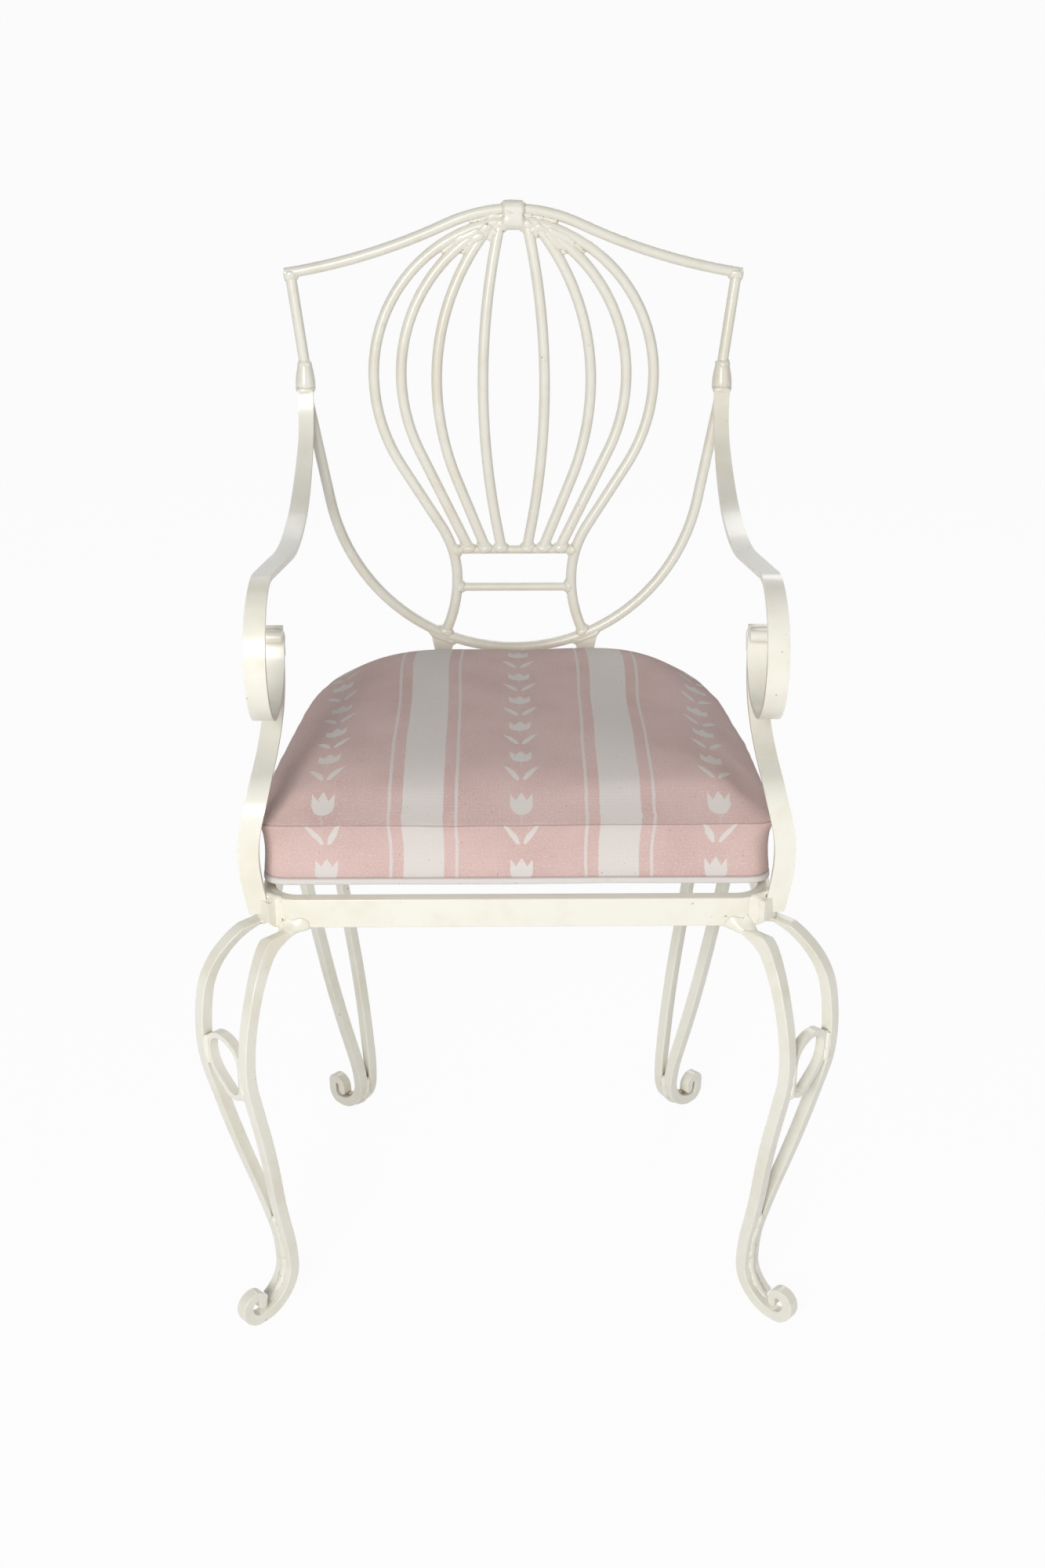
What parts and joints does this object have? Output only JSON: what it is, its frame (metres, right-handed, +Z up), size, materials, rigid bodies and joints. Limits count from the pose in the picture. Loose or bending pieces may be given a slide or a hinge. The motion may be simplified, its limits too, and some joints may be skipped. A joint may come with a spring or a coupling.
{
  "type": "garden armchair",
  "caption": "Wrought metal garden armchair with a shield-shaped balloon back, looped strap arms, paired-bar cabriole legs with scroll feet and a loose box cushion.",
  "frame": {"origin": "on the floor, under the centre of the chair's outline", "axes": "+Z up, -Y to the front, +X to the sitter's left"},
  "size_m": [0.5226, 0.5067, 0.8783],
  "materials": {
    "cream_paint": "aged gloss cream enamel on iron, brown in the welds",
    "cushion_cloth": "faded rose canvas with cream stripes and small tulips"
  },
  "bodies": {
    "chair_frame": {"seat_rail": "cream_paint", "front_seat_strap": "cream_paint", "middle_seat_strap": "cream_paint", "rear_seat_strap": "cream_paint", "top_rod": "cream_paint", "shield_hoop": "cream_paint", "balloon_outer_rod": "cream_paint", "upper_basket_bar": "cream_paint", "lower_basket_bar": "cream_paint", "top_clip": "cream_paint", "left_collar": "cream_paint", "right_collar": "cream_paint", "left_upright": "cream_paint", "right_upright": "cream_paint", "left_inner_rib": "cream_paint", "right_inner_rib": "cream_paint", "left_middle_rib": "cream_paint", "right_middle_rib": "cream_paint", "left_outer_rib": "cream_paint", "right_outer_rib": "cream_paint", "left_back_bracket": "cream_paint", "right_back_bracket": "cream_paint", "left_arm": "cream_paint", "right_arm": "cream_paint", "left_arm_support": "cream_paint", "right_arm_support": "cream_paint", "left_front_leg_inner_bar": "cream_paint", "right_front_leg_inner_bar": "cream_paint", "left_front_leg_outer_bar": "cream_paint", "right_front_leg_outer_bar": "cream_paint", "left_rear_leg_outer_bar": "cream_paint", "right_rear_leg_outer_bar": "cream_paint", "left_rear_leg_inner_bar": "cream_paint", "right_rear_leg_inner_bar": "cream_paint", "left_knee_ring": "cream_paint", "right_knee_ring": "cream_paint"},
    "cushion": {"seat_cushion": "cushion_cloth"}
  },
  "joints": [
    {"name": "cushion_lift", "type": "slide", "parent": "chair_frame", "child": "cushion", "axis": [0, 0, 1], "range_m": [0, 0.02]}
  ]
}
